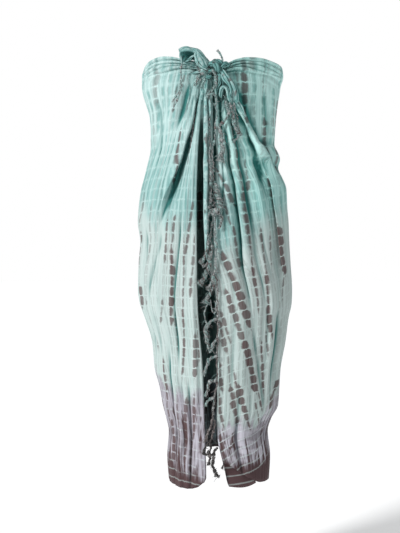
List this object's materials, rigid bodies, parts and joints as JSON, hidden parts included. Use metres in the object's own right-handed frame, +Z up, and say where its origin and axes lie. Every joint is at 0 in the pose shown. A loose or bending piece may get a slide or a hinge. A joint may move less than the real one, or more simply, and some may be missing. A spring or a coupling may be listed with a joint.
{
  "type": "sarong",
  "caption": "Tie-dyed sarong wrapped as a strapless dress and knotted at the front, with a slit, a fringed edge and tied corners with tassels.",
  "frame": {"origin": "the middle of the top opening, level with the top edge at the sides, where the wearer's chest holds the cloth", "axes": "+Z up, -Y towards the front with the knot, +X towards the viewer's right when the front is seen"},
  "size_m": [0.3854, 0.283, 1.0427],
  "materials": {
    "cloth": "thin soft rayon, tie-dyed teal, pale mint, lavender grey and dark brown",
    "knot": "the same cloth, tightly gathered",
    "fringe": "twisted matt yarns, grey-teal"
  },
  "bodies": {
    "root": {"back": "cloth", "front_left": "cloth", "front_right": "cloth", "knot": "knot", "tied_corner_upper": "cloth", "tied_corner_lower": "cloth", "loose_end": "fringe", "tassel_upper": "fringe", "tassel_knot": "fringe", "tassel_lower": "fringe", "fringe_right": "fringe", "fringe_left": "fringe"}
  },
  "joints": []
}
